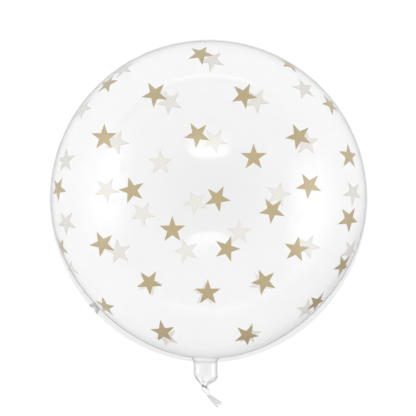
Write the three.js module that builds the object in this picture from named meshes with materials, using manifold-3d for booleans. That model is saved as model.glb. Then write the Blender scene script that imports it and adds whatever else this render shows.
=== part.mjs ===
// A round balloon of clear film, 40 cm across, blown up, knotted at its filling neck and lying on its side.
//
// The balloon is made of two round film panels welded together along their rims, with a filling neck welded
// in at one point of that rim. Blown up, it is a ball that is drawn out a little towards the neck, with the
// flat weld margin standing out of it all round. It is sealed, so it is modelled as one closed solid.
//
// Millimetres, +Z up. The origin is the middle of the small flat that it lies on. The balloon's own axis,
// from the neck to the far end, runs along +Y, and the weld lies level, in the plane through its middle.

import * as THREE from 'three';
import { mergeVertices } from 'three/addons/utils/BufferGeometryUtils.js';
import Module from 'manifold-3d';

// The blown-up body.
const RADIUS = 199; // of the ball
const NECK_RISE = 3; // how far the film is drawn out where the neck leaves it
const FLANK_DIP = 3.5; // how far it is drawn in, halfway between the neck and the widest place
const REST_RADIUS = 20; // of the flat that the film takes where it lies
const BODY_SIDES = 72;
const BODY_RINGS = 36;

// The weld margin, the flat double strip of film outside the weld.
const MARGIN = 1.5; // how far it stands out round the far half
const NECK_MARGIN = 6.7; // how much further it stands out beside the neck
const MARGIN_TAPER = THREE.MathUtils.degToRad(60); // where it has come down to its plain width
const MARGIN_THICKNESS = 1.2;

// The filling neck, which the air went in through, and the knot in it. Distances are from the ball's centre.
const NECK_RADIUS = 15.2;
const NECK_OFFSET = -3.8; // the neck is welded in a little to one side
const NECK_SIDES = 40;
const NECK_STEPS = 24;
const SHOULDER_START = 222; // where the tube begins to gather
const SHOULDER_SLANT = 0.13; // one side of the gathered end stands higher than the other
const WAIST_AT = 236.5; // the tightest place, inside the knot
const WAIST_RADIUS = 2.8;
const KNOT_AT = 242;
const KNOT_RADIUS = 4.6;
const STEM_AT = 248;
const STEM_RADIUS = 2.2;
const PLEATS = 8;
const PLEAT_DEPTH = 0.16; // as a share of the radius

// The loose end of the neck, past the knot: a flat bunch of film, pleated like a fan.
const TAIL_LENGTH = 20;
const TAIL_WIDTH_AT_KNOT = 4;
const TAIL_WIDTH = 11;
const TAIL_THICKNESS = 1.4;
const TAIL_FOLDS = 3;
const FOLD_DEPTH = 1.3;
const TAIL_TURN = THREE.MathUtils.degToRad(49); // away from the balloon's axis

const wasm = await Module();
wasm.setup();

/** Turns a closed three.js geometry into a solid that can be joined and cut. */
function solid(geometry) {
  geometry.deleteAttribute('normal');
  geometry.deleteAttribute('uv');
  const merged = mergeVertices(geometry, 1e-3);
  const triangles = [];
  for (let i = 0; i < merged.index.count; i += 3) {
    const [a, b, c] = [0, 1, 2].map((corner) => merged.index.getX(i + corner));
    if (a !== b && b !== c && c !== a) triangles.push(a, b, c); // a pole's rows hold flat triangles
  }
  const mesh = new wasm.Mesh({
    numProp: 3,
    vertProperties: new Float32Array(merged.attributes.position.array),
    triVerts: new Uint32Array(triangles),
  });
  return new wasm.Manifold(mesh);
}

/** Turns a solid back into a three.js geometry. */
function geometryOf(body) {
  const mesh = body.getMesh();
  const geometry = new THREE.BufferGeometry();
  geometry.setAttribute('position', new THREE.BufferAttribute(mesh.vertProperties, 3));
  geometry.setIndex(new THREE.BufferAttribute(mesh.triVerts, 1));
  geometry.computeVertexNormals();
  return geometry;
}

/** Moves every point of a geometry by a function that changes it in place. */
function bend(geometry, change) {
  const places = geometry.attributes.position;
  const point = new THREE.Vector3();
  for (let i = 0; i < places.count; i += 1) {
    point.fromBufferAttribute(places, i);
    change(point);
    places.setXYZ(i, point.x, point.y, point.z);
  }
  return geometry;
}

/** How far the film is from the ball's centre, at an angle from the neck end of its axis. */
function filmReach(angle) {
  const towardsNeck = Math.max(0, Math.cos(angle));
  const dip = towardsNeck > 0 ? FLANK_DIP * Math.sin(2 * angle) ** 2 : 0;
  return RADIUS + NECK_RISE * towardsNeck ** 8 - dip;
}

/** How far the edge of the weld margin is from the ball's centre, at the same angle. */
function marginReach(angle) {
  return RADIUS + MARGIN + NECK_MARGIN * Math.max(0, 1 - angle / MARGIN_TAPER);
}

/** The ball, turned about the balloon's axis. */
function makeBody() {
  const profile = [];
  for (let i = 0; i <= BODY_RINGS; i += 1) {
    const angle = (Math.PI * i) / BODY_RINGS;
    const across = i % BODY_RINGS === 0 ? 0 : filmReach(angle) * Math.sin(angle);
    profile.push(new THREE.Vector2(across, -filmReach(angle) * Math.cos(angle)));
  }
  return solid(new THREE.LatheGeometry(profile, BODY_SIDES));
}

/** The plate whose rim is the weld margin. The rest of it lies inside the ball. */
function makeWeldMargin() {
  const outline = [];
  const corners = 2 * BODY_SIDES;
  for (let i = 0; i < corners; i += 1) {
    const turn = (2 * Math.PI * i) / corners - Math.PI;
    const reach = marginReach(Math.abs(turn));
    outline.push(new THREE.Vector2(reach * Math.sin(turn), -reach * Math.cos(turn)));
  }
  const plate = new THREE.ExtrudeGeometry(new THREE.Shape(outline), {
    depth: MARGIN_THICKNESS,
    bevelEnabled: false,
  });
  plate.translate(0, 0, -MARGIN_THICKNESS / 2);
  return solid(plate);
}

/** The filling neck with its gathered end and its knot. */
function makeNeck() {
  const half = [
    new THREE.Vector2(STEM_RADIUS, -STEM_AT),
    new THREE.Vector2(KNOT_RADIUS, -KNOT_AT),
    new THREE.Vector2(WAIST_RADIUS, -WAIST_AT),
    new THREE.Vector2(NECK_RADIUS * 0.83, -SHOULDER_START - 6),
    new THREE.Vector2(NECK_RADIUS, -SHOULDER_START),
    new THREE.Vector2(NECK_RADIUS - 0.3, -SHOULDER_START + 6),
    new THREE.Vector2(NECK_RADIUS, -RADIUS - 8),
    new THREE.Vector2(NECK_RADIUS + 2, -RADIUS - 3),
    new THREE.Vector2(NECK_RADIUS, -RADIUS * 0.92),
  ];
  const outline = new THREE.SplineCurve(half).getPoints(NECK_STEPS);
  const closed = [
    new THREE.Vector2(0, -STEM_AT - 1),
    ...outline,
    new THREE.Vector2(0, outline[NECK_STEPS].y),
  ];
  const neck = new THREE.LatheGeometry(closed, NECK_SIDES);
  bend(neck, (point) => {
    const along = -point.y;
    const gather = THREE.MathUtils.smoothstep(along, SHOULDER_START, WAIST_AT);
    const turn = Math.atan2(point.x, point.z);
    const pleat = 1 + PLEAT_DEPTH * gather * Math.cos(PLEATS * turn);
    point.x *= pleat;
    point.z *= pleat;
    point.y -= SHOULDER_SLANT * point.x * THREE.MathUtils.smoothstep(along, RADIUS + 8, SHOULDER_START);
    point.x += NECK_OFFSET + neckLean(along);
  });
  return solid(neck);
}

/** How far the gathered end and the knot are pulled aside, at a distance from the ball's centre. */
function neckLean(along) {
  const toWaist = THREE.MathUtils.smoothstep(along, SHOULDER_START, WAIST_AT);
  const toStem = THREE.MathUtils.smoothstep(along, WAIST_AT + 2, STEM_AT);
  return -1.5 * toWaist + 4 * toStem;
}

/** The pleated tail. It leaves the knot at a slant and opens out to its end. */
function makeTail() {
  const tail = new THREE.BoxGeometry(1, TAIL_LENGTH, TAIL_THICKNESS, 4 * TAIL_FOLDS, 6, 1);
  bend(tail, (point) => {
    const along = 0.5 - point.y / TAIL_LENGTH; // 0 at the knot, 1 at the loose end
    const across = point.x; // -0.5 to 0.5
    const fold = Math.cos(2 * Math.PI * TAIL_FOLDS * across);
    point.x = across * THREE.MathUtils.lerp(TAIL_WIDTH_AT_KNOT, TAIL_WIDTH, along ** 1.3);
    point.y = -along * (TAIL_LENGTH + fold);
    point.z += FOLD_DEPTH * fold * Math.min(1, 2 * along);
  });
  tail.rotateZ(TAIL_TURN);
  tail.translate(NECK_OFFSET + neckLean(STEM_AT), -STEM_AT + 1, 0);
  return solid(tail);
}

/** Everything below the flat that the balloon lies on. */
function makeGround() {
  const height = RADIUS;
  const ground = new THREE.BoxGeometry(4 * RADIUS, 4 * RADIUS, height);
  ground.translate(0, 0, -restHeight() - height / 2);
  return solid(ground);
}

/** How high the ball's centre is above the flat. */
function restHeight() {
  return Math.sqrt(RADIUS ** 2 - REST_RADIUS ** 2);
}

const clearFilm = new THREE.MeshStandardMaterial({
  color: 0xf1f3f4,
  roughness: 0.08,
  metalness: 0,
  transparent: true,
  opacity: 0.3,
});

const whole = makeBody().add(makeWeldMargin()).add(makeNeck()).add(makeTail()).subtract(makeGround());
const balloon = new THREE.Mesh(geometryOf(whole), clearFilm);
balloon.name = 'balloon';
balloon.position.z = restHeight();

const part = new THREE.Group();
part.add(balloon);

export default part;
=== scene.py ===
# %% [markdown]
# # A clear bubble balloon with gold stars
#
# The balloon is an envelope of clear film. Two round panels are printed with gold stars, welded
# together round their rims, and blown up until they make a ball 40 cm across. The air goes in
# through a short neck, which is then gathered and knotted.
#
# The solid model gives the true size and place of all this as one closed body. It can't give the
# looks, because film is seen through, so this lesson makes four thin pieces that stand for that
# body: the film, the weld margin round it, the turn of film that ties the neck, and the printed
# stars.

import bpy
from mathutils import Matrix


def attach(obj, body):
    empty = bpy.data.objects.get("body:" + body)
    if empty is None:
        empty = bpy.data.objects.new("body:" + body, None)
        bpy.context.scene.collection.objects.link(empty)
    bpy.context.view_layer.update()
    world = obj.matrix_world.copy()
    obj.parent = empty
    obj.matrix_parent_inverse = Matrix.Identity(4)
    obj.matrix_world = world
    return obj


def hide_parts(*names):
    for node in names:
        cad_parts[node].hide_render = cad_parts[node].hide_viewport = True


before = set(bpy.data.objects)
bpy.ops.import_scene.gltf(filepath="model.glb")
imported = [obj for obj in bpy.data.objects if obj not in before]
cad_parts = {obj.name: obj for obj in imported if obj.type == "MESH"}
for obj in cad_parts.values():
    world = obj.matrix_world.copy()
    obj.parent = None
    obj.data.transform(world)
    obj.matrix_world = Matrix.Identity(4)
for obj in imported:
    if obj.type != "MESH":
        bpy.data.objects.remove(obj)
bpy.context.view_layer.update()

# %% [markdown]
# ## Sizes
#
# Blender works in metres, and a balloon is easier to think about in millimetres, so each size is
# written as so many times MM. The first block repeats what the solid model is made from. The ball
# isn't quite round: it is drawn out a little towards the neck and is a little flatter on its
# shoulders, and `film_reach` says how far the film is from the middle of the ball at an angle from
# the neck.

# %% Sizes that the solid model shares
import math

import bpy
import numpy as np
from mathutils import Matrix

MM = 0.001
BALL_RADIUS = 199 * MM
NECK_RISE = 3 * MM  # how far the film is drawn out where the neck leaves it
FLANK_DIP = 3.5 * MM  # how far it is drawn in, halfway between the neck and the widest place
REST_RADIUS = 20 * MM  # of the flat that the film takes where it lies
MARGIN = 1.5 * MM  # how far the weld margin stands out round the far half
NECK_MARGIN = 6.7 * MM  # how much further it stands out beside the neck
MARGIN_TAPER = math.radians(60)  # where it has come down to its plain width
NECK_OFFSET = -3.8 * MM  # the neck is welded in a little to one side
BALL_HEIGHT = math.sqrt(BALL_RADIUS**2 - REST_RADIUS**2)


def film_reach(angle):
    """How far the film is from the ball's middle, at an angle from the neck."""
    towards_neck = np.maximum(0, np.cos(angle))
    dip = np.where(towards_neck > 0, FLANK_DIP * np.sin(2 * angle) ** 2, 0)
    return BALL_RADIUS + NECK_RISE * towards_neck**8 - dip


def margin_reach(angle):
    """How far the weld margin's edge is from the ball's middle, at an angle from the neck."""
    return BALL_RADIUS + MARGIN + NECK_MARGIN * np.maximum(0, 1 - angle / MARGIN_TAPER)


print("ball's middle is", round(BALL_HEIGHT / MM, 2), "mm above the floor")

# %% [markdown]
# ## Three curves
#
# Film is all soft changes, so three small functions come up again and again. One goes evenly from 0
# to 1, one is a hump, and one is a sum of waves that don't keep step with each other, which looks
# uneven and is the same each time.

# %% Helpers for soft changes
WAVE_GAIN = 1.4  # because the waves seldom all crest together


def smooth_step(value, low, high):
    """0 below low, 1 above high, and an even curve between them."""
    share = np.clip((value - low) / (high - low), 0, 1)
    return share * share * (3 - 2 * share)


def hump(value, middle, spread):
    """1 at the middle, falling away on both sides of it over the spread."""
    return np.exp(-(((value - middle) / spread) ** 2))


def waves(place, counts, shifts):
    """A sum of sine waves, between about -1 and 1."""
    total = sum(np.sin(count * place + shift) for count, shift in zip(counts, shifts))
    return total / len(counts) * WAVE_GAIN


print("halfway up a smooth step is", smooth_step(0.5, 0, 1))

# %% [markdown]
# ## The surface of the film
#
# Everything that touches the film has to agree on where it is: the film itself, the stars printed
# on it and the weld margin. So the surface is one function, from a direction to a point. Beside the
# weld the film puckers a little, since a flat panel has more rim than the ball has waist, and under
# the ball it lies flat on the floor.

# %% The surface as a function
PUCKER = 0.16 * MM
PUCKER_SPREAD = 9 * MM  # how far the puckers reach from the weld
SWELL = 0.25 * MM  # a slow unevenness of the whole ball
SWELL_FREE = 0.3  # how near the weld it dies out, as a share of the ball's radius
LEFT_SHIFT = 1.7  # moves the waves on the left side along, so that the sides aren't mirror images


def film_surface(directions, under=0.0):
    """The film's points in these directions from the ball's middle, or points that far under it."""
    directions = directions / np.linalg.norm(directions, axis=1, keepdims=True)
    across, along, up = directions.T
    angle = np.arccos(np.clip(-along, -1, 1))
    side = np.where(across < 0, LEFT_SHIFT, 0.0)
    near_weld = hump(up * BALL_RADIUS, 0, PUCKER_SPREAD) * np.minimum(1, 3 * np.sin(angle))
    pucker = PUCKER * near_weld * waves(angle + side, (61, 83, 107), (0.4, 2.1, 4.0))
    swell = SWELL * waves(4 * across + 3 * along, (1.1, 2.3), (0.5, 1.9)) * np.sin(5 * up + 1)
    reach = film_reach(angle) + pucker + swell * (1 - hump(up, 0, SWELL_FREE)) - under
    points = directions * reach[:, None]
    points[:, 2] = np.maximum(points[:, 2], under - BALL_HEIGHT)
    points[:, 2] += BALL_HEIGHT
    return points


top_of_ball = film_surface(np.array([[0.0, 0.0, 1.0]]))[0]
print("top of the ball is", round(top_of_ball[2] / MM, 1), "mm above the floor")

# %% [markdown]
# ## Making a mesh
#
# Each piece is worked out as a list of points and a list of faces, so one helper turns them into an
# object that rides on the solid model's only body. A skin made of rings comes up three times, so
# its faces are a helper as well. A third one draws a smooth curve through a few stations.

# %% Helpers for meshes
BODY = "root"


def new_object(name, data):
    """Makes an object from a mesh, a lamp or a camera, and puts it in the scene."""
    made = bpy.data.objects.new(name, data)
    bpy.context.scene.collection.objects.link(made)
    return made


def add_piece(name, points, faces, finish_of_face=None):
    """Adds a smooth mesh that rides on the balloon. finish_of_face has a slot for each face."""
    mesh = bpy.data.meshes.new(name)
    mesh.from_pydata([tuple(point) for point in points], [], faces)
    mesh.validate()
    mesh.shade_smooth()
    if finish_of_face is not None:
        mesh.polygons.foreach_set("material_index", finish_of_face)
    piece = new_object(name, mesh)
    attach(piece, BODY)
    size = [round(length / MM, 1) for length in piece.dimensions]
    print(name, "has", len(mesh.polygons), "faces, and is", size)
    return piece


def ring_faces(rings, sides):
    """The faces of a skin whose points come ring after ring, each ring closed on itself."""
    faces = []
    for ring in range(rings - 1):
        this, following = ring * sides, (ring + 1) * sides
        for side in range(sides):
            beside = (side + 1) % sides
            faces.append((this + side, this + beside, following + beside, following + side))
    return faces


def closed_ring_faces(rings, sides):
    """The same faces, and one face over each end."""
    first, last = range(sides), range((rings - 1) * sides, rings * sides)
    return ring_faces(rings, sides) + [tuple(reversed(first)), tuple(last)]


def through_stations(stations, count):
    """count points on a smooth curve through the stations, evenly spread over them."""
    stations = np.array(stations, float)
    padded = np.vstack([2 * stations[0] - stations[1], stations, 2 * stations[-1] - stations[-2]])
    curve = []
    for place in np.linspace(0, len(stations) - 1, count):
        start = min(int(place), len(stations) - 2)
        t = place - start
        before, here, there, after = padded[start : start + 4]
        bend = 2 * before - 5 * here + 4 * there - after
        twist = 3 * here - before - 3 * there + after
        curve.append(here + 0.5 * t * (there - before + t * (bend + t * twist)))
    return np.array(curve)


print("a skin of 2 rings with 4 sides has", len(closed_ring_faces(2, 4)), "faces when it is closed")

# %% [markdown]
# ## The film
#
# The film is one skin from the far end of the ball to the ragged end of the tail, so it is made of
# rings strung along the balloon's axis, as a tailor's dummy is made of hoops. The rings over the
# ball come from the surface function. Near the weld the points of a ring are closer together,
# because that is where the puckers are.

# %% The film over the ball
SIDES = 208
BALL_RINGS = 230
NECK_ROOT = math.radians(9)  # where the rings leave the ball for the neck
CROWDING = 0.3  # how much closer the points are at the weld

even = np.arange(SIDES) / SIDES * 2 * math.pi
turns = even - CROWDING * np.sin(2 * even)
ring_across, ring_up = np.cos(turns), np.sin(turns)


def ball_ring(angle):
    """One ring of the film over the ball, at an angle from the neck."""
    across, up = np.sin(angle) * ring_across, np.sin(angle) * ring_up
    return film_surface(np.column_stack([across, np.full(SIDES, -np.cos(angle)), up]))


film_rings = [ball_ring(angle) for angle in np.linspace(math.pi, NECK_ROOT, BALL_RINGS + 1)[1:]]
print(len(film_rings), "rings over the ball")

# %% [markdown]
# ## The neck
#
# The neck is a tube of the same film, 3 cm across, whose upper end is welded in between the panels.
# The weld shows as a narrow ridge that curves up at its two sides, with short puckers between it
# and the ball. The tube's lower end is gathered into pleats that run in to the tie.
#
# The tube's outline is a curve through stations, each a radius and a distance from the ball's
# middle. The pleats are waves in each ring's radius.

# %% The film of the neck
NECK_RINGS = 110
NECK_STATIONS = [
    (film_reach(NECK_ROOT) * math.sin(NECK_ROOT), film_reach(NECK_ROOT) * math.cos(NECK_ROOT)),
    (24 * MM, 200.3 * MM),
    (19.4 * MM, 201.1 * MM),
    (16.8 * MM, 202.9 * MM),
    (15.8 * MM, 205.8 * MM),
    (15.1 * MM, 210 * MM),
    (14.8 * MM, 216 * MM),
    (15.2 * MM, 222 * MM),
    (12.6 * MM, 227.5 * MM),
    (7 * MM, 232.5 * MM),
    (2.9 * MM, 236.5 * MM),
]
OFFSET_FROM, OFFSET_TO = 199 * MM, 203 * MM  # here the rings move over to the neck's own axis
COLLAR_AT = 205.8 * MM  # the ridge where the tube is welded in
COLLAR_HEIGHT = 0.7 * MM
COLLAR_WIDTH = 0.9 * MM
COLLAR_CURL = 3.2 * MM  # how far the ridge curves up at its sides
CURL_SPREAD = 4 * MM
ROOT_PUCKER = 0.8 * MM
ROOT_PUCKER_AT = COLLAR_AT - 3.5 * MM
ROOT_PUCKER_SPREAD = 3 * MM
SLANT_FROM = 207 * MM
SHOULDER_START = 222 * MM
SHOULDER_SLANT = 0.13  # one side of the gathered end stands higher than the other
PLEATS_FROM = SHOULDER_START - 3 * MM
PLEAT_DEPTH = 0.15  # as a share of the radius
WAIST_AT = 236.5 * MM
WAIST_LEAN = -1.5 * MM  # how far the waist is pulled aside
STEM_AT = 246 * MM  # where the knot ends and the tail begins
STEM_LEAN = 4 * MM  # how far the knot is pulled back the other way


def neck_lean(along):
    """How far the gathered end and the knot are pulled aside."""
    to_waist = smooth_step(along, SHOULDER_START, WAIST_AT)
    to_stem = smooth_step(along, WAIST_AT + 2 * MM, STEM_AT)
    return WAIST_LEAN * to_waist + STEM_LEAN * to_stem


def round_ring(reach, lean, along):
    """A ring of points round the neck. Any of the three may differ round the ring."""
    along = np.broadcast_to(along, SIDES)
    return np.column_stack([reach * ring_across + lean, -along, reach * ring_up + BALL_HEIGHT])


def neck_ring(radius, along):
    """One ring of the neck. Its sides are drawn up towards the ball near the collar."""
    pleat_depth = PLEAT_DEPTH * smooth_step(along, PLEATS_FROM, WAIST_AT)
    reach = radius * (1 + pleat_depth * waves(turns, (8, 11, 5), (0.3, 1.4, 2.2)))
    reach += COLLAR_HEIGHT * hump(along, COLLAR_AT, COLLAR_WIDTH)
    pucker = ROOT_PUCKER * hump(along, ROOT_PUCKER_AT, ROOT_PUCKER_SPREAD)
    reach += pucker * waves(turns, (9, 14, 17), (0.2, 2.5, 0.9))
    lean = NECK_OFFSET * smooth_step(along, OFFSET_FROM, OFFSET_TO) + neck_lean(along)
    curl = COLLAR_CURL * np.abs(ring_across) ** 5 * hump(along, COLLAR_AT, CURL_SPREAD)
    slant = SHOULDER_SLANT * reach * ring_across * smooth_step(along, SLANT_FROM, SHOULDER_START)
    return round_ring(reach, lean, along - curl + slant)


neck_line = through_stations(NECK_STATIONS, NECK_RINGS)[1:]
film_rings += [neck_ring(radius, along) for radius, along in neck_line]
print("neck is", round((WAIST_AT - COLLAR_AT) / MM, 1), "mm from its collar to its tie")

# %% [markdown]
# ## The knot and the tail
#
# Past the tie the film swells into a small pale bulb, narrows to a stem, and then opens into the
# tail: the mouth of the tube, pressed flat and folded lengthwise. It is still the same skin, so
# these are more rings. A tail ring is a flat loop whose middle line is a wave, and it blends out of
# the round rings.

# %% The film of the knot and the tail
KNOT_RINGS = 34
KNOT_STATIONS = [
    (2.9 * MM, 236.5 * MM),
    (3.4 * MM, 238.6 * MM),
    (4.6 * MM, 240.8 * MM),
    (3.8 * MM, 243.4 * MM),
    (2.2 * MM, 245.7 * MM),
]
KNOT_CREASE = 0.11  # as a share of the radius
TAIL_RINGS = 44
TAIL_LENGTH = 21 * MM
TAIL_TURN = math.radians(49)  # away from the balloon's axis
TURN_FROM, TURN_TO = -0.25, 0.35  # the share of its length over which it turns
TAIL_OPEN_AT = 0.3  # the share of its length by which it is flat
TAIL_ROOT_RADIUS = 2.1 * MM
TAIL_WIDTH_AT_KNOT = 3.6 * MM
TAIL_WIDTH = 10.5 * MM
TAIL_FLARE = 1.2  # the power by which it widens
TAIL_FOLDS = 1.5
FOLD_DEPTH = 1.2 * MM
FOLD_CREASE = 1.8  # how sharply the tail is folded
FOLD_SHIFT = 0.6  # how far the folds are out of the middle
FILM_GAP = 0.35 * MM  # between the middle of the flat loop and each of its sides
TAIL_CURVE = 0.7 * MM  # how far the tail bows on its way out
RAGGED = 2.2 * MM  # how uneven its loose end is


def knot_ring(radius, along):
    """One ring of the bulb, with a few soft creases."""
    reach = radius * (1 + KNOT_CREASE * waves(turns, (5, 7, 3), (1.1, 0.2, 2.0)))
    return round_ring(reach, NECK_OFFSET + neck_lean(along), along)


def tail_ring(share, start):
    """One ring of the tail. share is 0 at the knot and 1 at the loose end."""
    opened = smooth_step(share, 0, TAIL_OPEN_AT)
    width = TAIL_WIDTH_AT_KNOT + (TAIL_WIDTH - TAIL_WIDTH_AT_KNOT) * share**TAIL_FLARE
    flat = width / 2 * ring_across
    fold = np.tanh(FOLD_CREASE * np.sin(2 * math.pi * TAIL_FOLDS * flat / width + FOLD_SHIFT))
    half = FILM_GAP * opened + TAIL_ROOT_RADIUS * (1 - opened)
    up = FOLD_DEPTH * opened * fold + half * ring_up
    out = TAIL_LENGTH * share + RAGGED * share**5 * waves(flat / MM, (1.1, 2.3), (0.4, 1.5))
    sideways = flat - TAIL_CURVE * math.sin(math.pi * share) * opened
    turn = float(TAIL_TURN * smooth_step(share, TURN_FROM, TURN_TO))
    aside = out * math.sin(turn) + sideways * math.cos(turn)
    along = out * math.cos(turn) - sideways * math.sin(turn)
    return np.column_stack([start[0] + aside, start[1] - along, start[2] + up])


for radius, along in through_stations(KNOT_STATIONS, KNOT_RINGS)[1:]:
    film_rings.append(knot_ring(radius, along))
stem = (NECK_OFFSET + neck_lean(STEM_AT), -STEM_AT, BALL_HEIGHT)
for share in np.linspace(0, 1, TAIL_RINGS)[1:]:
    film_rings.append(tail_ring(share, stem))
print(len(film_rings), "rings in all")

# %% [markdown]
# Now the rings are joined into one skin. It begins with a fan of triangles round the far end of the
# ball, and it ends where the tail's mouth is pressed shut, so there the faces go from one lip to
# the other. The film looks different where it is welded, gathered or folded, because light then
# goes through more layers of it. So each ring has its own finish, by its place along the neck.

# %% Join the rings into the film
CLEAR, NECK, WELD, GATHERED, TAIL = range(5)  # the film's finishes, in the order of its slots
NECK_FILM_FROM = 201.6 * MM
WELD_HALF = 1.7 * MM
GATHERED_FROM = 227 * MM


def neck_finish(along):
    """Which finish the neck's film has at a distance from the ball's middle."""
    if abs(along - COLLAR_AT) < WELD_HALF:
        return WELD
    if along < NECK_FILM_FROM:
        return CLEAR
    return NECK if along < GATHERED_FROM else GATHERED


film_points = np.vstack([film_surface(np.array([[0.0, 1.0, 0.0]]))] + film_rings)
film_faces = [(0, 1 + (side + 1) % SIDES, 1 + side) for side in range(SIDES)]
for face in ring_faces(len(film_rings), SIDES):
    film_faces.append(tuple(1 + corner for corner in reversed(face)))
mouth = 1 + (len(film_rings) - 1) * SIDES  # the first point of the last ring
for side in range(SIDES // 2 - 1):
    lower, upper = mouth + side, mouth + SIDES - side - 1
    face = (lower, lower + 1, upper, upper + 1)
    film_faces.append(face if side else face[:3])
film_faces.append((mouth + SIDES // 2 - 1, mouth + SIDES // 2, mouth + SIDES // 2 + 1))

finish_of_ring = [CLEAR] * BALL_RINGS + [neck_finish(along) for radius, along in neck_line]
finish_of_ring += [GATHERED] * (KNOT_RINGS - 1) + [TAIL] * (TAIL_RINGS - 1)
finish_of_face = [CLEAR] * SIDES
finish_of_face += [finish for finish in finish_of_ring[:-1] for side in range(SIDES)]
finish_of_face += [TAIL] * (len(film_faces) - len(finish_of_face))
film = add_piece("balloon_film", film_points, film_faces, finish_of_face)
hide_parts("balloon")

# %% [markdown]
# ## The weld margin
#
# Outside the weld the two panels lie flat on each other as a narrow strip. It is under 2 mm wide
# round most of the ball and widens towards the neck, where it is seen best. It is a thin closed
# band that follows the ball's waist from one side of the neck to the other, with a trimmed edge
# that isn't quite even and a slight ripple.

# %% The weld margin as a band
BAND_STEPS = 900
BAND_ROWS = 6
BAND_THICKNESS = 0.5 * MM
BAND_TAPER = 0.6  # how much thinner it is at its edge
BAND_ROOT = 0.3 * MM  # how far it starts inside the film
NECK_LEFT = math.radians(5.6)  # the band stops at the neck, which stands a little to one side
NECK_RIGHT = math.radians(3.6)
BAND_RIPPLE = 0.35 * MM
RIPPLE_WIDTH = 4 * MM  # a strip at least this wide ripples in full
BAND_TRIM = 0.15 * MM  # how uneven the trimmed edge is


def band_section(turn):
    """The loop of points round the band, at a turn from the neck about the ball."""
    angle = abs(turn)
    place = angle + (LEFT_SHIFT if turn < 0 else 0.0)
    inner = film_reach(angle) - BAND_ROOT
    outer = margin_reach(angle) + BAND_TRIM * waves(place, (37, 71), (0.2, 1.0))
    shares = np.linspace(0, 1, BAND_ROWS)
    reach = inner + (outer - inner) * shares
    across, along = reach * math.sin(turn), -reach * math.cos(turn)
    ripple = BAND_RIPPLE * shares * waves(place, (53, 91), (0.0, 1.2))
    ripple = ripple * min(1, (outer - inner) / RIPPLE_WIDTH)
    half = BAND_THICKNESS / 2 * (1 - BAND_TAPER * shares)
    top = np.column_stack([across, along, BALL_HEIGHT + ripple + half])
    bottom = np.column_stack([across, along, BALL_HEIGHT + ripple - half])
    return np.vstack([top, bottom[::-1]])


band_turns = np.linspace(NECK_RIGHT, 2 * math.pi - NECK_LEFT, BAND_STEPS)
band_turns = np.where(band_turns > math.pi, band_turns - 2 * math.pi, band_turns)
band_points = np.vstack([band_section(turn) for turn in band_turns])
band_faces = [tuple(reversed(face)) for face in closed_ring_faces(BAND_STEPS, 2 * BAND_ROWS)]
margin = add_piece("weld_margin", band_points, band_faces)

# %% [markdown]
# ## The turn that ties the neck
#
# The neck is tied with a turn of its own film, pulled tight. It is a creased cord of film wound one
# and a third times round the waist at a slant, with both ends tucked in. Seen through so many
# layers it looks darker than the rest.

# %% The tie
TIE_STEPS = 120
TIE_SIDES = 20
TIE_TURNS = 1.35
TIE_START = 2.4  # the turn at which it begins, in radians
TIE_AT = WAIST_AT + 0.4 * MM
TIE_MIDDLE = NECK_OFFSET + neck_lean(WAIST_AT)
TIE_RADIUS = 3.0 * MM  # of the winding
TIE_TUCK = 0.55  # how far its ends are tucked in, as a share of that
TIE_PITCH = 1.7 * MM  # how far it moves along the neck from end to end
TIE_SLANT = 0.38
TIE_THICKNESS = 0.85 * MM
TIE_WIDENING = 1.3  # how much wider than thick it is
TIE_END = 0.35  # the thickness of its ends, as a share
TIE_CREASES = 4
TIE_CREASE = 0.22
TIE_TWIST = 9  # how far the creases turn round it from end to end, in radians
TIE_LOOK = 0.01  # how far to look along it for its direction


def tie_path(share):
    """A point of the tie's middle line. share is 0 at one end and 1 at the other."""
    turn = 2 * math.pi * TIE_TURNS * share + TIE_START
    reach = TIE_RADIUS * (1 - TIE_TUCK * smooth_step(abs(2 * share - 1), 0.8, 1))
    across, up = reach * math.cos(turn), reach * math.sin(turn)
    along = TIE_AT + TIE_PITCH * (share - 0.5) + TIE_SLANT * across
    return np.array([TIE_MIDDLE + across, -along, BALL_HEIGHT + up])


def tie_ring(share):
    """A ring of the tie, creased along its length and twisted."""
    here = tie_path(share)
    ahead = tie_path(min(1, share + TIE_LOOK)) - tie_path(max(0, share - TIE_LOOK))
    ahead /= np.linalg.norm(ahead)
    outward = here - np.array([TIE_MIDDLE, here[1], BALL_HEIGHT])
    outward -= ahead * outward.dot(ahead)
    outward /= np.linalg.norm(outward)
    sideways = np.cross(ahead, outward)
    round_it = np.arange(TIE_SIDES) / TIE_SIDES * 2 * math.pi
    crease = 1 + TIE_CREASE * np.cos(TIE_CREASES * round_it + TIE_TWIST * share)
    taper = TIE_END + (1 - TIE_END) * math.sin(math.pi * share) ** 0.5
    reach = TIE_THICKNESS * taper * crease
    thick, wide = reach * np.cos(round_it), TIE_WIDENING * reach * np.sin(round_it)
    return here + np.outer(thick, outward) + np.outer(wide, sideways)


tie_points = np.vstack([tie_ring(share) for share in np.linspace(0, 1, TIE_STEPS)])
tie = add_piece("neck_tie", tie_points, closed_ring_faces(TIE_STEPS, TIE_SIDES))

# %% [markdown]
# ## The printed stars
#
# The stars are ink on the inside of the film. Both panels carry the same print, and the back one
# lies a few millimetres out of step with the front one. The list says where each star's middle is
# on a panel, in millimetres across and up from the panel's middle, and how far it is turned.
#
# A panel is printed flat. Blown up, its film stretches most near the weld, and always away from the
# panel's middle, so a star near the rim is longer in that direction. That is why the stars near the
# outline still look almost whole from the front. `ball_angle` says where a place on the flat print
# ends up on the ball: up to STRETCH times as far round as it was on the flat, and less in the
# middle.

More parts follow.
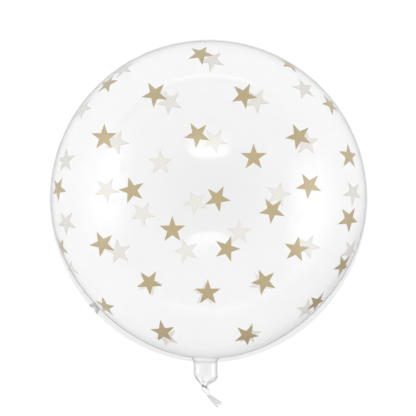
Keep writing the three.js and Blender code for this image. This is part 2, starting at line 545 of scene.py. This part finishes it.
# %% Where the stars are
STARS = [
    # across, up, turn in degrees
    (-10, 181, -27),
    (102, 168, -18),
    (-127, 144, -15),
    (-67, 130, 30),
    (44, 128, -27),
    (153, 118, 30),
    (-130, 76, 0),
    (-14, 79, 30),
    (112, 77, 24),
    (56, 51, 0),
    (176, 53, 0),
    (-189, 12, -30),
    (-95, 10, 15),
    (11, 0, -27),
    (125, 16, 30),
    (79, -15, 30),
    (176, -26, -33),
    (-45, -39, 0),
    (-133, -57, 24),
    (-186, -62, -36),
    (23, -63, -18),
    (110, -64, -9),
    (-75, -106, -33),
    (-1, -119, 0),
    (70, -105, 24),
    (170, -85, 27),
    (-132, -138, 0),
    (-58, -169, 9),
    (48, -173, -27),
    (138, -133, -27),
]
STAR_POINTS = 5
STAR_REACH = 17 * MM  # from its middle to a point
STAR_WAIST = 0.39  # its inner corners, as a share of that
STRETCH = 1.8  # the most that the print is drawn out
BACK_SHIFT = (5.6 * MM, -4.6 * MM)  # how far out of step the back panel's print is
INK_UNDER = 0.12 * MM  # the ink's outer face, under the film's surface
INK_BACK = 0.22 * MM  # its inner face
INK_CLEARANCE = 0.2 * MM  # between ink on the margin and the margin's edge
FINENESS = 4  # parts that each side of a star's triangles is cut into
print(len(STARS), "stars on each panel")

# %% [markdown]
# A star is ten triangles round its middle, and each is cut into smaller ones so that it can bend
# with the film. Neighbouring triangles share their points, so that the star is one sheet, and its
# outer edges are those that only one triangle has.

# %% A flat star cut into small triangles
def flat_star():
    """Points and triangles of a star with one point up, with its middle at 0, 0 and its reach 1."""
    corners = []
    for corner in range(2 * STAR_POINTS):
        reach = STAR_WAIST if corner % 2 else 1.0
        turn = math.pi / 2 + corner * math.pi / STAR_POINTS
        corners.append((reach * math.cos(turn), reach * math.sin(turn)))
    places, triangles, number = [], [], {}

    def number_of(place):
        key = (round(place[0], 6), round(place[1], 6))
        if key not in number:
            number[key] = len(places)
            places.append(place)
        return number[key]

    for corner in range(len(corners)):
        first, second = np.array(corners[corner]), np.array(corners[(corner + 1) % len(corners)])
        grid = {}
        for i in range(FINENESS + 1):
            for j in range(FINENESS + 1 - i):
                grid[i, j] = number_of(tuple((i * first + j * second) / FINENESS))
        for i in range(FINENESS):
            for j in range(FINENESS - i):
                triangles.append((grid[i, j], grid[i + 1, j], grid[i, j + 1]))
                if i + j < FINENESS - 1:
                    triangles.append((grid[i + 1, j], grid[i + 1, j + 1], grid[i, j + 1]))
    return np.array(places), triangles


def outer_edges(triangles):
    """The edges that only one triangle has, in its order."""
    edges = [(t[i], t[(i + 1) % 3]) for t in triangles for i in range(3)]
    known = set(edges)
    return [edge for edge in edges if (edge[1], edge[0]) not in known]


star_places, star_triangles = flat_star()
star_rim = outer_edges(star_triangles)
print("a star has", len(star_triangles), "triangles a side and", len(star_rim), "edges round it")

# %% [markdown]
# The flat star is turned, moved to its place on the flat print and carried over to the ball. The
# list has places as they are seen from above, so each is first carried back to the flat print.
# Where a star passes the weld, the rest of it is printed on the margin.

# %% Lay the stars on the film
STRETCHED_FROM = math.acos(1 / STRETCH)  # past this angle from a panel's middle it is in full
TINY = 1e-9  # keeps a sum from being divided by nothing


def ball_angle(flat_reach):
    """The angle on the ball of a place that far from the panel's middle on the flat print."""
    stretched_reach = BALL_RADIUS * math.sin(STRETCHED_FROM)
    near = np.arcsin(np.minimum(flat_reach, stretched_reach) / BALL_RADIUS)
    return near + np.maximum(0, flat_reach - stretched_reach) * STRETCH / BALL_RADIUS


def print_reach(seen_reach):
    """How far a place is from the panel's middle on the flat print, and seen_reach from above."""
    angle = math.asin(min(1, seen_reach / BALL_RADIUS))
    beyond = max(0, angle - STRETCHED_FROM)
    return BALL_RADIUS * (math.sin(min(angle, STRETCHED_FROM)) + beyond / STRETCH)


def laid_star(across, up, degrees, panel, under):
    """A star's points on a panel, 1 for the front or -1 for the back. across and up are metres."""
    turn = math.radians(degrees)
    x, y = STAR_REACH * star_places.T
    seen = math.hypot(across, up)
    middle = np.array([across, up]) * print_reach(seen) / max(seen, TINY)
    flat_x = middle[0] + x * math.cos(turn) - y * math.sin(turn)
    flat_y = middle[1] + x * math.sin(turn) + y * math.cos(turn)
    flat_reach = np.maximum(np.hypot(flat_x, flat_y), TINY)
    angle = ball_angle(flat_reach)
    level = np.sin(np.minimum(angle, math.pi / 2)) / flat_reach
    directions = np.column_stack([flat_x * level, flat_y * level, np.maximum(0, np.cos(angle))])
    # The back panel is the front one turned over, about the neck's axis.
    directions *= np.array([panel, 1, panel])
    points = film_surface(directions, under)
    neck_angle = np.arccos(np.clip(-directions[:, 1], -1, 1))
    passed = (angle - math.pi / 2) * BALL_RADIUS / STRETCH  # this part is printed past the weld
    edge = margin_reach(neck_angle) - INK_CLEARANCE
    reach = np.minimum(film_reach(neck_angle) + passed, edge)
    height = BALL_HEIGHT + panel * (BAND_THICKNESS / 2 + INK_BACK - under)
    heights = np.full(len(points), height)
    on_margin = np.column_stack([directions[:, :2] * reach[:, None], heights])
    return np.where((passed > 0)[:, None], on_margin, points)


GOLD, BACKING = range(2)  # the ink's finishes, in the order of its slots
ink_points, ink_faces, ink_side = [], [], []
for panel, shift in ((1, (0, 0)), (-1, BACK_SHIFT)):
    for across, up, degrees in STARS:
        start = sum(len(part) for part in ink_points)
        for under in (INK_UNDER, INK_BACK):
            place = (across * MM + shift[0], up * MM + shift[1])
            ink_points.append(laid_star(*place, degrees, panel, under))
        below = start + len(star_places)
        ink_faces += [tuple(start + corner for corner in t) for t in star_triangles]
        ink_faces += [tuple(below + corner for corner in reversed(t)) for t in star_triangles]
        ink_faces += [(start + b, start + a, below + a, below + b) for a, b in star_rim]
        ink_side += [GOLD] * len(star_triangles) + [BACKING] * len(star_triangles)
        ink_side += [GOLD] * len(star_rim)
stars = add_piece("star_print", np.vstack(ink_points), ink_faces, ink_side)
stars.visible_shadow = False  # so little light is lost in the stars that the floor doesn't show it
stars.visible_diffuse = False

# %% [markdown]
# ## Sums inside a material
#
# A material is a net of nodes. Sums of values take one Math node for each sign, which is hard to
# read as a net and easy to read as a line of Python, so a small class wraps an output and gives it
# Python's operators. Every other node comes from one method, which takes the node's type, its
# settings and its inputs. Three short methods call it for what comes up most: a smooth step, a
# colour between two others, and the three parts of a vector.

# %% Two small classes for materials
class Value:
    """An output inside a material, with Python's operators for sums on values."""

    def __init__(self, socket):
        self.socket = socket

    def sum(self, operation, first, second):
        node = self.socket.id_data.nodes.new("ShaderNodeMath")
        node.operation = operation
        plug(node.inputs[0], first)
        plug(node.inputs[1], second)
        return Value(node.outputs[0])

    def __add__(self, other):
        return self.sum("ADD", self, other)

    def __radd__(self, other):
        return self.sum("ADD", other, self)

    def __sub__(self, other):
        return self.sum("SUBTRACT", self, other)

    def __rsub__(self, other):
        return self.sum("SUBTRACT", other, self)

    def __mul__(self, other):
        return self.sum("MULTIPLY", self, other)

    def __rmul__(self, other):
        return self.sum("MULTIPLY", other, self)

    def __truediv__(self, other):
        return self.sum("DIVIDE", self, other)

    def __rtruediv__(self, other):
        return self.sum("DIVIDE", other, self)

    def __pow__(self, other):
        return self.sum("POWER", self, other)


def plug(socket, value):
    """Sets an input to a number or a colour, or joins it to an output."""
    if isinstance(value, Value):
        value = value.socket
    if isinstance(value, bpy.types.NodeSocket):
        socket.id_data.links.new(value, socket)
    else:
        socket.default_value = value


def named_input(node, name):
    """A node's input by its name in lower case with _ for spaces, or by _ and its number."""
    if name[0] == "_":
        return node.inputs[int(name[1:])]
    return next(i for i in node.inputs if i.name.lower().replace(" ", "_") == name)


class Finish:
    """A material, or another net of nodes, with one method that adds any node to it."""

    def __init__(self, name, tree=None):
        if tree is None:
            self.material = bpy.data.materials.new(name)
            self.material.use_nodes = True
            tree = self.material.node_tree
        self.tree = tree
        self.tree.nodes.clear()

    def node(self, kind, output=0, settings=(), **inputs):
        """Adds a node, sets it up, fills its inputs by name and returns one of its outputs."""
        node = self.tree.nodes.new(kind)
        for name, value in dict(settings).items():
            setattr(node, name, value)
        for name, value in inputs.items():
            plug(named_input(node, name), value)
        return Value(node.outputs[output]) if node.outputs else node

    def step(self, value, low, high, start=0.0, end=1.0):
        """A smooth step in a value, from start at low to end at high."""
        smooth = {"interpolation_type": "SMOOTHSTEP"}
        ends = {"_1": low, "_2": high, "_3": start, "_4": end}
        return self.node("ShaderNodeMapRange", settings=smooth, value=value, **ends)

    def blend(self, share, first, second):
        """A colour that is the first one where share is 0 and the second where it is 1."""
        colours = {"data_type": "RGBA"}
        return self.node("ShaderNodeMix", output=2, settings=colours, _0=share, _6=first, _7=second)

    def parts(self, vector):
        """The x, y and z of a vector."""
        first = self.node("ShaderNodeSeparateXYZ", vector=vector)
        return [Value(output) for output in first.socket.node.outputs]


print("material helpers ready")

# %% [markdown]
# ## The finish of the film
#
# Film could be made with a glass shader, but glass bends light like a solid lump, and a film wall
# is so thin that it doesn't. So the film is a mix: a Transparent shader lets the light straight
# through, and a gloss adds what the film mirrors. Two shares change with the angle, as they do on
# real film. The mirrored share grows towards the edge, and the tint deepens there. That deeper tint
# is partly the longer way the light goes inside the wall and partly painted shade, which stands in
# for the dark surroundings that a real balloon's edge bends and mirrors. It draws the thin dark
# line round a clear balloon.

# %% Clear film
FILM_GLOSS = (0.8, 0.8, 0.8, 1)
EDGE_MIRROR = 0.42  # how much more the film mirrors edge on
EDGE_MIRROR_POWER = 5  # how narrow that edge is
HAZE = 0.6  # how uneven the gloss is


def clear_finish(name, head_on, edge_on, edge_power, mirrored, roughness):
    """See-through film that darkens towards its edges and has a gloss. The colours are greys."""
    finish = Finish(name)
    facing = finish.node("ShaderNodeLayerWeight", output=1, blend=0.5)
    places = finish.node("ShaderNodeTexCoord", output=3)
    haze = finish.node("ShaderNodeTexNoise", vector=places, scale=14.0, detail=3.0)
    clear = finish.node("ShaderNodeBsdfTransparent", color=(head_on, head_on, head_on, 1))
    # The deep tint edge on is partly the longer way through the wall and partly painted shade for
    # the dark outline.
    deep = finish.node("ShaderNodeBsdfTransparent", color=(edge_on, edge_on, edge_on, 1))
    wall = finish.node("ShaderNodeMixShader", _0=facing**edge_power, _1=clear, _2=deep)
    shine = finish.node(
        "ShaderNodeBsdfPrincipled",
        base_color=FILM_GLOSS,
        metallic=1.0,
        roughness=roughness * ((1 - HAZE / 2) + HAZE * haze),
    )
    share = mirrored + EDGE_MIRROR * facing**EDGE_MIRROR_POWER
    surface = finish.node("ShaderNodeMixShader", _0=share, _1=wall, _2=shine)
    finish.node("ShaderNodeOutputMaterial", surface=surface)
    print(name, "lets", head_on, "of the light through a wall head on")
    return finish.material


# Each is a name, a clearness head on, one edge on that is partly painted shade, how narrow the
# edge is, a mirrored share and a roughness. The first five are in the order of the film's slots.
for made in (
    clear_finish("clear_film", 0.967, 0.14, 13, 0.06, 0.1),
    clear_finish("neck_film", 0.93, 0.4, 3.5, 0.12, 0.24),
    clear_finish("neck_weld", 0.84, 0.4, 3, 0.06, 0.15),
    clear_finish("gathered_film", 0.98, 0.25, 2.6, 0.06, 0.18),
    clear_finish("tail_film", 0.935, 0.2, 1.7, 0.07, 0.2),
):
    film.data.materials.append(made)
tie.data.materials.append(clear_finish("tied_film", 0.87, 0.3, 2, 0.06, 0.2))
margin.data.materials.append(clear_finish("welded_film", 0.925, 0.45, 4, 0.07, 0.2))

# %% [markdown]
# ## The finish of the ink
#
# Gold printing ink is fine metal flake in a clear binder. From the outside it is a soft, slightly
# grainy gold. It is printed over a coat of white, so from the inside, through the balloon, it is a
# pale cream.

# %% Gold ink and its white backing
GOLD_LIGHT, GOLD_DARK = (0.51, 0.405, 0.21, 1), (0.38, 0.30, 0.15, 1)
CREAM_LIGHT, CREAM_DARK = (0.755, 0.73, 0.685, 1), (0.70, 0.675, 0.63, 1)
FLAKE_SHARE = 0.6  # how much of the unevenness is flake, and the rest is a slower cloudiness


def ink_finish(name, light, dark, grain, metallic, roughness):
    """Ink with a fine grain between two colours."""
    finish = Finish(name)
    places = finish.node("ShaderNodeTexCoord", output=3)
    flakes = finish.node("ShaderNodeTexNoise", vector=places, scale=grain, detail=2.0)
    cloud = finish.node("ShaderNodeTexNoise", vector=places, scale=60.0, detail=2.0)
    share = FLAKE_SHARE * flakes + (1 - FLAKE_SHARE) * cloud
    bump = finish.node("ShaderNodeBump", strength=0.15, distance=0.2 * MM, height=flakes)
    surface = finish.node(
        "ShaderNodeBsdfPrincipled",
        base_color=finish.blend(share, dark, light),
        metallic=metallic,
        roughness=roughness + 0.1 * flakes,
        normal=bump,
    )
    finish.node("ShaderNodeOutputMaterial", surface=surface)
    print(name, "runs from", dark[:3], "to", light[:3])
    return finish.material


# Each is a name, two colours, how fine the grain is, how metallic it is and a roughness.
stars.data.materials.append(ink_finish("gold_ink", GOLD_LIGHT, GOLD_DARK, 2200.0, 0.15, 0.46))
stars.data.materials.append(ink_finish("ink_backing", CREAM_LIGHT, CREAM_DARK, 1500.0, 0.0, 0.5))

# %% [markdown]
# ## The floor
#
# The balloon lies on a plain white floor. It has to be wide, because the views from low down look
# far along it.

# %% A white floor
SQUARE = [(-0.5, -0.5), (0.5, -0.5), (0.5, 0.5), (-0.5, 0.5)]
FLOOR_SIZE = 48.0
FLOOR_DROP = 0.4 * MM  # just under the balloon, so that film and floor don't lie in one plane
FLOOR_LIGHT, FLOOR_DARK = (0.87, 0.87, 0.87, 1), (0.83, 0.83, 0.83, 1)

floor_mesh = bpy.data.meshes.new("floor")
floor_corners = [(x * FLOOR_SIZE, y * FLOOR_SIZE, -FLOOR_DROP) for x, y in SQUARE]
floor_mesh.from_pydata(floor_corners, [], [(0, 1, 2, 3)])
floor = new_object("floor", floor_mesh)

paint = Finish("white_floor")
floor_places = paint.node("ShaderNodeTexCoord", output=3)
scuffs = paint.node("ShaderNodeTexNoise", vector=floor_places, scale=3.0, detail=4.0)
floor_colour = paint.blend(scuffs, FLOOR_DARK, FLOOR_LIGHT)
floor_surface = paint.node("ShaderNodeBsdfPrincipled", base_color=floor_colour, roughness=0.7)
paint.node("ShaderNodeOutputMaterial", surface=floor_surface)
floor_mesh.materials.append(paint.material)
print("floor is", FLOOR_SIZE, "m across")

# %% [markdown]
# ## The light
#
# Clear film shows only what it mirrors, so the lights are placed for their reflections. An even
# overhead light makes the white floor and isn't mirrored. The rest are softboxes, made as glowing
# panels, because a real softbox is brighter at one side than at the other and a panel's glow can
# fade towards its edges.
#
# A long one on each side rises from the floor and leans back, and gives the two tall soft patches.
# A round one, high above the far side, gives the two ovals, since the near wall and the far wall of
# the ball each mirror it once. A low strip on the floor at the far side draws a thin bright line
# inside the far rim.

# %% Softboxes and an overhead light
OVAL_CORNERS = 32
OVAL_TURNS = [2 * math.pi * corner / OVAL_CORNERS for corner in range(OVAL_CORNERS)]
OVAL = [(0.5 * math.cos(turn), 0.5 * math.sin(turn)) for turn in OVAL_TURNS]


def show_only_in_reflections(card):
    """Keeps a card out of sight and out of the light on the floor."""
    card.visible_camera = False
    card.visible_shadow = False
    card.visible_diffuse = False


def add_card(name, middle, across, upward, size, surface, corners=SQUARE):
    """Adds a flat panel that shows only in reflections. across and upward are its directions."""
    across, upward = (np.array(way, float) / np.linalg.norm(way) for way in (across, upward))
    mesh = bpy.data.meshes.new(name)
    places = [(x * size[0], y * size[1], 0) for x, y in corners]
    mesh.from_pydata(places, [], [tuple(range(len(corners)))])
    mesh.materials.append(surface)
    card = new_object(name, mesh)
    turned = Matrix((across, upward, np.cross(across, upward))).transposed().to_4x4()
    card.matrix_world = Matrix.Translation(middle) @ turned
    show_only_in_reflections(card)


def glow(name, brightness, fades):
    """A glow that fades at the left, right, lower and upper side over shares of the panel."""
    finish = Finish(name)
    x, y = finish.parts(finish.node("ShaderNodeTexCoord", output=0))[:2]
    left, right, lower, upper = (
        finish.step(way, 0.0, fade) for way, fade in zip((x, 1 - x, y, 1 - y), fades)
    )
    lamp = finish.node("ShaderNodeEmission", strength=brightness)
    nothing = finish.node("ShaderNodeBsdfTransparent")
    share = left * right * lower * upper
    surface = finish.node("ShaderNodeMixShader", _0=share, _1=nothing, _2=lamp)
    finish.node("ShaderNodeOutputMaterial", surface=surface)
    return finish.material


SUN_STRENGTH = 1.0
SUN_SPREAD = math.radians(60)
sun = new_object("overhead", bpy.data.lights.new("overhead", "SUN"))
sun.data.energy = SUN_STRENGTH
sun.data.angle = SUN_SPREAD
sun.visible_glossy = False

SIDE_NEAR, SIDE_FAR, SIDE_TOP = 0.62, 1.45, 0.95  # from SIDE_NEAR on the floor, leaning back
SIDE_LENGTH = 1.7
SIDE_BRIGHTNESS = 2.6
SIDE_SHIFT = 0.13  # the two stand a little out of line
SIDE_FADES = (0.4, 0.4, 0.4, 0.5)
side_size = (SIDE_LENGTH, math.hypot(SIDE_FAR - SIDE_NEAR, SIDE_TOP))
for name, side in (("right_softbox", 1), ("left_softbox", -1)):
    middle = (side * (SIDE_NEAR + SIDE_FAR) / 2, -side * SIDE_SHIFT, SIDE_TOP / 2)
    lean = (side * (SIDE_FAR - SIDE_NEAR), 0, SIDE_TOP)
    side_glow = glow(name, SIDE_BRIGHTNESS, SIDE_FADES)
    add_card(name, middle, (0, side, 0), lean, side_size, side_glow)

OVAL_DISTANCE = 8.0
OVAL_LEAN = math.radians(40.5)  # from straight up
OVAL_SIZE = (4.9, 3.5)
OVAL_BRIGHTNESS = 3.6
OVAL_FADES = (0.15, 0.15, 0.05, 0.85)
far, high = OVAL_DISTANCE * math.sin(OVAL_LEAN), OVAL_DISTANCE * math.cos(OVAL_LEAN)
oval_glow = glow("oval_glow", OVAL_BRIGHTNESS, OVAL_FADES)
oval_middle, oval_down = (0, far, BALL_HEIGHT + high), (0, high, -far)
add_card("oval_softbox", oval_middle, (1, 0, 0), oval_down, OVAL_SIZE, oval_glow, OVAL)

STRIP_AT = 1.45
STRIP_LENGTH, STRIP_HEIGHT = 2.0, 0.09
STRIP_BRIGHTNESS = 1.9
STRIP_FADES = (0.3, 0.3, 0.15, 0.15)
strip_middle = (0, STRIP_AT, STRIP_HEIGHT / 2)
strip_glow = glow("strip_glow", STRIP_BRIGHTNESS, STRIP_FADES)
add_card("far_strip", strip_middle, (1, 0, 0), (0, 0, 1), (STRIP_LENGTH, STRIP_HEIGHT), strip_glow)

# %% [markdown]
# A dark card on the floor, below and to the right of what the camera sees, gives the film something
# dark to mirror. It deepens the lower right side of the ball and makes it look round. It is darkest
# close to the ball, pales with distance and has faded out before its own edges, so that they don't
# show in the film.

# %% A dark card
CARD_SIZE = 7.0
CARD_HEIGHT = 0.002  # just over the floor
CARD_TOWARDS = math.radians(-65)
CARD_SIDE, CARD_FULL = 0.25, 0.9  # cosines of the turn away from CARD_TOWARDS, where it fades
CARD_NEAR, CARD_DARKEST, CARD_FAR = 0.22, 0.34, 3.4
CARD_DARKNESS = 0.88
CARD_PALING = 0.5  # how fast it pales with distance, as a power
CARD_COLOUR = (0.03, 0.03, 0.03, 1)

dark = Finish("dark_card")
card_x, card_y = dark.parts(dark.node("ShaderNodeTexCoord", output=3))[:2]
card_reach = (card_x**2 + card_y**2) ** 0.5
card_turn = (card_x * math.cos(CARD_TOWARDS) + card_y * math.sin(CARD_TOWARDS)) / card_reach
fade_turn = dark.step(card_turn, CARD_SIDE, CARD_FULL)
fade_near = dark.step(card_reach, CARD_NEAR, CARD_DARKEST)
fade_far = dark.step(card_reach, CARD_FAR, CARD_FAR / 2)
paling = (CARD_DARKEST / card_reach) ** CARD_PALING
dark_surface = dark.node(
    "ShaderNodeBsdfPrincipled",
    base_color=CARD_COLOUR,
    roughness=0.8,
    alpha=CARD_DARKNESS * fade_turn * fade_near * fade_far * paling,
)
dark.node("ShaderNodeOutputMaterial", surface=dark_surface)
card_middle, card_size = (0, 0, CARD_HEIGHT), (CARD_SIZE, CARD_SIZE)
add_card("dark_card", card_middle, (1, 0, 0), (0, 1, 0), card_size, dark.material)
print("dark card reaches", CARD_FAR, "m from the ball")

# %% [markdown]
# The room is a white tent. Its walls are as bright as the floor, its slopes are a little brighter,
# and it is darker overhead, where the camera looks in. The film mirrors the dark part in its
# middle.

# %% The room around
WALLS, SLOPES = 0.97, 1.05  # brightness
OVERHEAD_SHARE = 0.78  # how bright it is overhead, as a share of the slopes
WALLS_UP_TO, SLOPES_FROM = 0.2, 0.4  # heights on a ball of radius 1
SLOPES_UP_TO, OVERHEAD_FROM = 0.65, 0.99

world = bpy.data.worlds.new("room")
world.use_nodes = True
bpy.context.scene.world = world
room = Finish("room_light", world.node_tree)
sky_height = room.parts(room.node("ShaderNodeTexCoord", output=0))[2]
rising = room.step(sky_height, WALLS_UP_TO, SLOPES_FROM, WALLS, SLOPES)
falling = room.step(sky_height, SLOPES_UP_TO, OVERHEAD_FROM, 1.0, OVERHEAD_SHARE)
sky = room.node("ShaderNodeBackground", color=rising * falling)
room.node("ShaderNodeOutputWorld", surface=sky)
print("room is", WALLS, "bright at its walls and", round(SLOPES * OVERHEAD_SHARE, 2), "overhead")

# %% [markdown]
# ## The camera
#
# The balloon is shown from the front, and it lies on its side, so the camera looks straight down on
# it with the neck towards the bottom of the frame. A long lens from far away keeps the ball round.

# %% A long lens, straight down
LENS = 800  # mm
SENSOR = 36  # mm
FRAME_WIDTH = 0.5242  # of what the camera sees at the height of the ball's middle
FRAME_MIDDLE = (-0.0007, -0.0119)
SEES_UP_TO = 60  # m

camera_data = bpy.data.cameras.new("camera")
camera_data.lens = LENS
camera_data.sensor_width = SENSOR
camera_data.clip_end = SEES_UP_TO
camera = new_object("camera", camera_data)
camera.location = (*FRAME_MIDDLE, BALL_HEIGHT + FRAME_WIDTH * LENS / SENSOR)
bpy.context.scene.camera = camera
bpy.context.scene.view_settings.view_transform = "Standard"
print("camera is", round(camera.location.z, 2), "m up")
